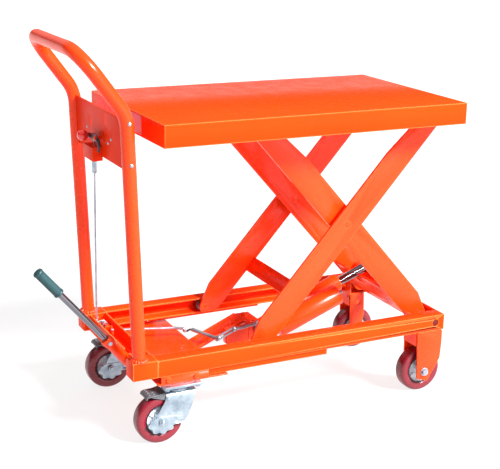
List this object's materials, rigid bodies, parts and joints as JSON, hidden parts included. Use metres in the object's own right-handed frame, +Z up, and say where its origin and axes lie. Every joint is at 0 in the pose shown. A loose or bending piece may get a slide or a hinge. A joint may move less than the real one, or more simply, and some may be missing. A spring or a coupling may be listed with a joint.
{
  "type": "scissor lift table",
  "caption": "Wheeled scissor lift table with a flat top, a bent push handle, a foot pump lever and swivel casters with brakes.",
  "frame": {"origin": "middle of the footprint, on the floor under the wheels", "axes": "+X from the push handle towards the fixed wheels, +Y across to the left when facing +X, +Z up"},
  "size_m": [1.1354, 0.52, 1.0061],
  "materials": {
    "orange_paint": "gloss powder coat",
    "zinc": "bright zinc plate",
    "chrome": "polished",
    "steel": "machined",
    "tyre": "smooth polyurethane",
    "hub": "satin",
    "black": "moulded, studded",
    "grip": "ribbed",
    "red_knob": "gloss",
    "plate": "blank satin plate"
  },
  "bodies": {
    "base": {"base_rail_near": "orange_paint", "base_rail_far": "orange_paint", "handle_crossbeam": "orange_paint", "deck_pan": "orange_paint", "front_crossbeam": "orange_paint", "wheel_bracket_near": "orange_paint", "wheel_bracket_far": "orange_paint", "handle_tube_near": "orange_paint", "handle_tube_far": "orange_paint", "handle_plate": "orange_paint", "base_pivot_shaft": "orange_paint", "caster_mount_near": "zinc", "caster_mount_far": "zinc", "frame_bolts": "zinc", "pump_support": "orange_paint", "pump_block": "orange_paint", "release_bracket": "orange_paint", "linkage_brackets": "orange_paint"},
    "swivel_near": {"caster_fork_near": "zinc"},
    "swivel_far": {"caster_fork_far": "zinc"},
    "pedal_near": {"brake_pedal_near": "black"},
    "pedal_far": {"brake_pedal_far": "black"},
    "caster_wheel_near": {"caster_tyre_near": "tyre", "caster_hub_near": "hub"},
    "caster_wheel_far": {"caster_tyre_far": "tyre", "caster_hub_far": "hub"},
    "front_wheel_near": {"front_tyre_near": "tyre", "front_hub_near": "hub"},
    "front_wheel_far": {"front_tyre_far": "tyre", "front_hub_far": "hub"},
    "inner_arms": {"inner_arm_near": "orange_paint", "inner_arm_far": "orange_paint", "inner_cross_members": "orange_paint", "cylinder_lugs": "orange_paint", "inner_roller_pins": "steel"},
    "outer_arms": {"outer_arm_near": "orange_paint", "outer_arm_far": "orange_paint", "outer_cross_plate": "orange_paint", "outer_arm_pins": "orange_paint"},
    "table": {"table_top": "orange_paint", "table_channels": "orange_paint", "table_pin_brackets": "orange_paint", "name_plate": "plate"},
    "base_roller_near": {"base_roller_near": "steel"},
    "base_roller_far": {"base_roller_far": "steel"},
    "table_roller_near": {"table_roller_near": "steel"},
    "table_roller_far": {"table_roller_far": "steel"},
    "cylinder": {"cylinder_barrel": "orange_paint", "oil_tank": "orange_paint"},
    "ram": {"piston_rod": "chrome"},
    "foot_lever": {"lever_socket": "orange_paint", "lever_bar": "chrome", "lever_grip": "grip"},
    "plunger": {"pump_plunger": "zinc"},
    "release_lever": {"release_lever": "steel", "release_knob": "red_knob"},
    "release_rod": {"release_rod": "zinc"},
    "bell_crank": {"bell_crank": "zinc"},
    "tie_rod": {"tie_rod": "zinc"},
    "valve_lever": {"valve_lever": "steel"}
  },
  "joints": [
    {"name": "lift", "type": "hinge", "parent": "base", "child": "inner_arms", "pos_m": [0.532, 0, 0.203], "axis": [0, -1, 0], "range_deg": [0, 40]},
    {"name": "arm_cross", "type": "hinge", "parent": "inner_arms", "child": "outer_arms", "pos_m": [0.26643, 0, 0.50212], "axis": [0, -1, 0], "range_deg": [-80, 0]},
    {"name": "table_tilt", "type": "hinge", "parent": "outer_arms", "child": "table", "pos_m": [0.532, 0, 0.80124], "axis": [0, -1, 0], "range_deg": [0, 40]},
    {"name": "base_roller_near_spin", "type": "hinge", "parent": "outer_arms", "child": "base_roller_near", "pos_m": [0.00086, -0.192, 0.203], "axis": [0, 1, 0], "continuous": true},
    {"name": "base_roller_far_spin", "type": "hinge", "parent": "outer_arms", "child": "base_roller_far", "pos_m": [0.00086, 0.192, 0.203], "axis": [0, 1, 0], "continuous": true},
    {"name": "table_roller_near_spin", "type": "hinge", "parent": "inner_arms", "child": "table_roller_near", "pos_m": [0.00086, -0.153, 0.80124], "axis": [0, 1, 0], "continuous": true},
    {"name": "table_roller_far_spin", "type": "hinge", "parent": "inner_arms", "child": "table_roller_far", "pos_m": [0.00086, 0.153, 0.80124], "axis": [0, 1, 0], "continuous": true},
    {"name": "front_wheel_near_spin", "type": "hinge", "parent": "base", "child": "front_wheel_near", "pos_m": [0.504, -0.178, 0.0625], "axis": [0, 1, 0], "continuous": true},
    {"name": "front_wheel_far_spin", "type": "hinge", "parent": "base", "child": "front_wheel_far", "pos_m": [0.504, 0.178, 0.0625], "axis": [0, 1, 0], "continuous": true},
    {"name": "swivel_near", "type": "hinge", "parent": "base", "child": "swivel_near", "pos_m": [-0.232, -0.19, 0.15], "axis": [0, 0, 1], "continuous": true},
    {"name": "swivel_far", "type": "hinge", "parent": "base", "child": "swivel_far", "pos_m": [-0.232, 0.19, 0.15], "axis": [0, 0, 1], "continuous": true},
    {"name": "caster_wheel_near_spin", "type": "hinge", "parent": "swivel_near", "child": "caster_wheel_near", "pos_m": [-0.282, -0.19, 0.0625], "axis": [0, 1, 0], "continuous": true},
    {"name": "caster_wheel_far_spin", "type": "hinge", "parent": "swivel_far", "child": "caster_wheel_far", "pos_m": [-0.282, 0.19, 0.0625], "axis": [0, 1, 0], "continuous": true},
    {"name": "brake_near", "type": "hinge", "parent": "swivel_near", "child": "pedal_near", "pos_m": [-0.265, -0.19, 0.122], "axis": [0, -1, 0], "range_deg": [0, 8]},
    {"name": "brake_far", "type": "hinge", "parent": "swivel_far", "child": "pedal_far", "pos_m": [-0.265, 0.19, 0.122], "axis": [0, -1, 0], "range_deg": [0, 8]},
    {"name": "cylinder_pivot", "type": "hinge", "parent": "base", "child": "cylinder", "pos_m": [0.105, 0.027, 0.1766], "axis": [0, 1, 0], "range_deg": [0, 5.4]},
    {"name": "ram_slide", "type": "slide", "parent": "cylinder", "child": "ram", "axis": [-0.9351, 0, -0.3545], "range_m": [0, 0.0818]},
    {"name": "foot_lever", "type": "hinge", "parent": "base", "child": "foot_lever", "pos_m": [-0.328, -0.12, 0.191], "axis": [0, -1, 0], "range_deg": [0, 30]},
    {"name": "plunger_slide", "type": "slide", "parent": "base", "child": "plunger", "axis": [1, 0, 0], "range_m": [0, 0.008]},
    {"name": "release_lever", "type": "hinge", "parent": "base", "child": "release_lever", "pos_m": [-0.37317, -0.022, 0.75381], "axis": [0.9992, 0, 0.0401], "range_deg": [0, 10]},
    {"name": "release_rod_slide", "type": "slide", "parent": "base", "child": "release_rod", "axis": [-0.0656, -0.2149, 0.9744], "range_m": [0, 0.008]},
    {"name": "bell_crank", "type": "hinge", "parent": "base", "child": "bell_crank", "pos_m": [-0.311, 0.127, 0.21], "axis": [0, 1, 0], "range_deg": [0, 24]},
    {"name": "tie_rod_slide", "type": "slide", "parent": "base", "child": "tie_rod", "axis": [-1, 0, 0], "range_m": [0, 0.006]},
    {"name": "valve_lever", "type": "hinge", "parent": "base", "child": "valve_lever", "pos_m": [0.062, -0.05, 0.196], "axis": [0, -1, 0], "range_deg": [0, 16]}
  ],
  "couplings": [
    {"joint": "arm_cross", "follows": "lift", "ratio": -2},
    {"joint": "table_tilt", "follows": "lift", "ratio": 1},
    {"joint": "cylinder_pivot", "follows": "lift", "ratio": 0.12237},
    {"joint": "ram_slide", "follows": "lift", "m_per_rad": 0.1158},
    {"joint": "plunger_slide", "follows": "foot_lever", "m_per_rad": 0.0136},
    {"joint": "release_rod_slide", "follows": "release_lever", "m_per_rad": 0.042},
    {"joint": "bell_crank", "follows": "release_lever", "ratio": 2.333},
    {"joint": "tie_rod_slide", "follows": "release_lever", "m_per_rad": 0.0327},
    {"joint": "valve_lever", "follows": "release_lever", "ratio": 1.486}
  ]
}
